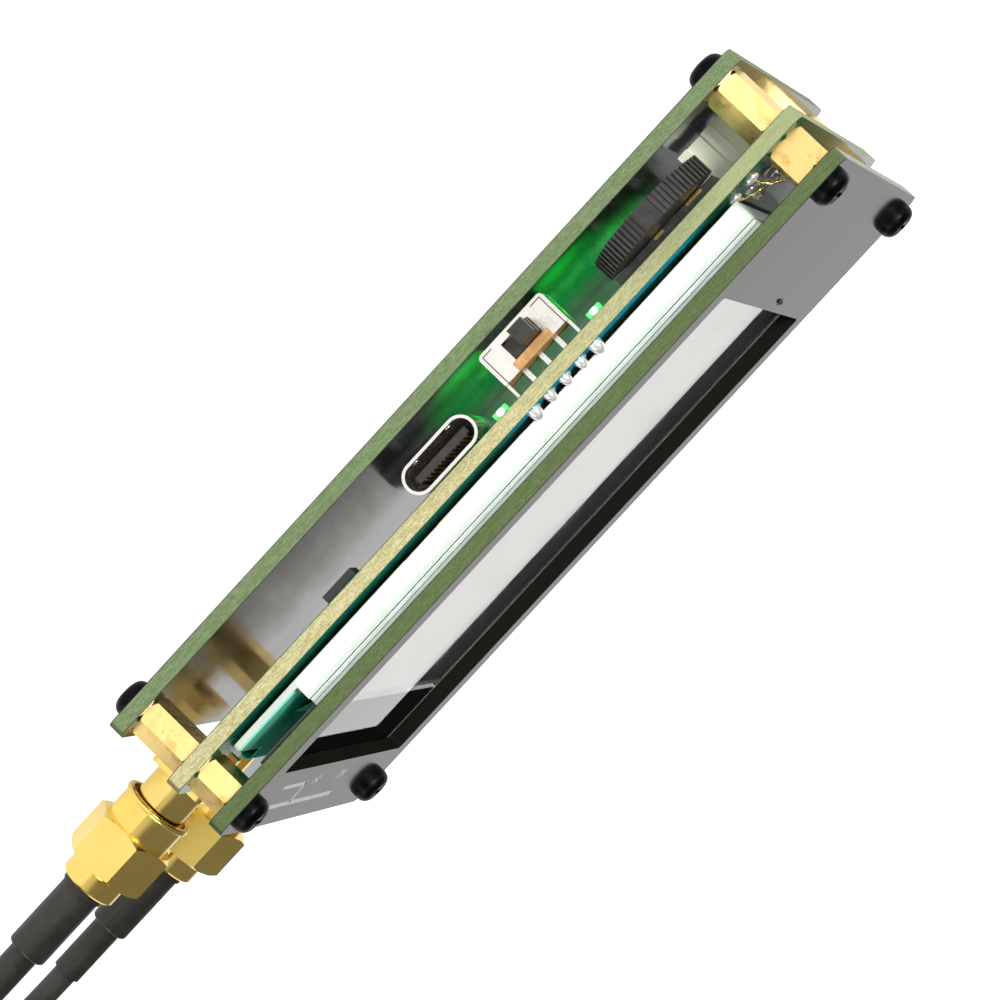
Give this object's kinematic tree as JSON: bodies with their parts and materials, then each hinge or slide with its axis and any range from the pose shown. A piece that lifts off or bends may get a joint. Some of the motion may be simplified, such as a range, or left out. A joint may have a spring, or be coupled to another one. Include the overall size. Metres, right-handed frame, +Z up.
{
  "type": "antenna analyzer",
  "caption": "Open-stack handheld antenna analyzer: three circuit boards on brass spacers, touch display, jog dial, slide switch and coaxial test leads.",
  "frame": {"origin": "under the middle of the analyzer without its leads, on the surface that its back screw heads stand on", "axes": "+X along the boards away from the coaxial jacks, +Y towards the edge with the controls, +Z up out of the display"},
  "size_m": [0.1944, 0.0787, 0.0176],
  "materials": {
    "front_board": "black gloss solder mask on bare fibreglass",
    "main_board": "green solder mask on bare fibreglass",
    "back_board": "black gloss solder mask on bare fibreglass",
    "spacer_brass": "turned brass, satin",
    "screw_black": "black oxide steel",
    "frame_white": "white moulded backlight frame",
    "display_cell": "display cell, switched off",
    "touch_glass": "clear touch glass, polished edge",
    "foam": "black foam and tape",
    "flex": "teal flexible circuit",
    "tin_plate": "drawn tin-plated steel",
    "black_plastic": "moulded black",
    "gold": "gold plate",
    "phenolic": "brown phenolic board",
    "solder": "solder, satin to bright",
    "lamp_green": "clear green lens",
    "header_plastic": "natural nylon, pale grey-green",
    "pouch": "foil pouch",
    "wire": "insulated wire",
    "chip_black": "moulded chip package",
    "passive": "ceramic chip parts",
    "dielectric": "white fluoropolymer",
    "gold_nut": "gold-plated brass",
    "shrink": "black heat-shrink sleeve",
    "cable": "thin coaxial cable, dark jacket"
  },
  "bodies": {
    "analyzer": {"front_panel": "front_board", "main_board": "main_board", "back_panel": "back_board", "front_spacers": "spacer_brass", "rear_spacers": "spacer_brass", "front_screws": "screw_black", "back_screws": "screw_black", "display_frame": "frame_white", "display_cell": "display_cell", "touch_glass": "touch_glass", "foam_tape": "foam", "display_flex": "flex", "usb_shell": "tin_plate", "usb_tongue": "black_plastic", "usb_contacts": "gold", "switch_cover": "tin_plate", "switch_base": "phenolic", "switch_pins": "tin_plate", "solder_joints": "solder", "jog_base": "black_plastic", "jog_contacts": "gold", "status_lamps": "lamp_green", "battery_header": "header_plastic", "header_pins": "tin_plate", "battery_plug": "header_plastic", "battery": "pouch", "battery_wires": "wire", "shield_can": "tin_plate", "radio_chips": "chip_black", "processor": "chip_black", "power_chips": "chip_black", "crystals": "tin_plate", "passives": "passive", "near_jack": "gold", "far_jack": "gold", "jack_insulators": "dielectric", "jack_contacts": "gold", "plug_pins": "gold", "near_plug": "gold_nut", "near_sleeves": "shrink", "near_lead_cable": "cable", "near_lead_coil": "cable", "near_lead_tail": "cable", "near_end_sleeves": "shrink", "near_end_plug": "gold_nut", "far_plug": "gold_nut", "far_sleeves": "shrink", "far_lead_cable": "cable", "far_lead_coil": "cable", "far_lead_tail": "cable", "far_end_sleeves": "shrink", "far_end_plug": "gold_nut"},
    "power_slider": {"switch_slider": "black_plastic"},
    "jog_carriage": {"jog_carrier": "black_plastic"},
    "jog_thumb_dial": {"jog_dial": "black_plastic"},
    "near_coupling": {"near_plug_nut": "gold_nut"},
    "far_coupling": {"far_plug_nut": "gold_nut"},
    "near_end_coupling": {"near_end_nut": "gold_nut"},
    "far_end_coupling": {"far_end_nut": "gold_nut"}
  },
  "joints": [
    {"name": "power_switch_slide", "type": "slide", "parent": "analyzer", "child": "power_slider", "axis": [1, 0, 0], "range_m": [-0.0016, 0]},
    {"name": "jog_push", "type": "slide", "parent": "analyzer", "child": "jog_carriage", "axis": [0, 1, 0], "range_m": [-0.0005, 0], "stiffness_N_per_m": 2000, "springref_m": 0.0003},
    {"name": "jog_tilt", "type": "hinge", "parent": "jog_carriage", "child": "jog_thumb_dial", "pos_m": [0.0324, 0.02085, 0.00685], "axis": [0, 0, 1], "range_deg": [-15, 15], "stiffness_Nm_per_rad": 0.02},
    {"name": "near_coupling_turn", "type": "hinge", "parent": "analyzer", "child": "near_coupling", "pos_m": [-0.0454, 0.0119, 0.008], "axis": [1, 0, 0], "continuous": true},
    {"name": "far_coupling_turn", "type": "hinge", "parent": "analyzer", "child": "far_coupling", "pos_m": [-0.0454, -0.0156, 0.008], "axis": [1, 0, 0], "continuous": true},
    {"name": "near_end_coupling_turn", "type": "hinge", "parent": "analyzer", "child": "near_end_coupling", "pos_m": [-0.13579, 0.00724, 0.004], "axis": [1, 0, 0], "continuous": true},
    {"name": "far_end_coupling_turn", "type": "hinge", "parent": "analyzer", "child": "far_end_coupling", "pos_m": [-0.14298, -0.01094, 0.004], "axis": [1, 0, 0], "continuous": true}
  ]
}
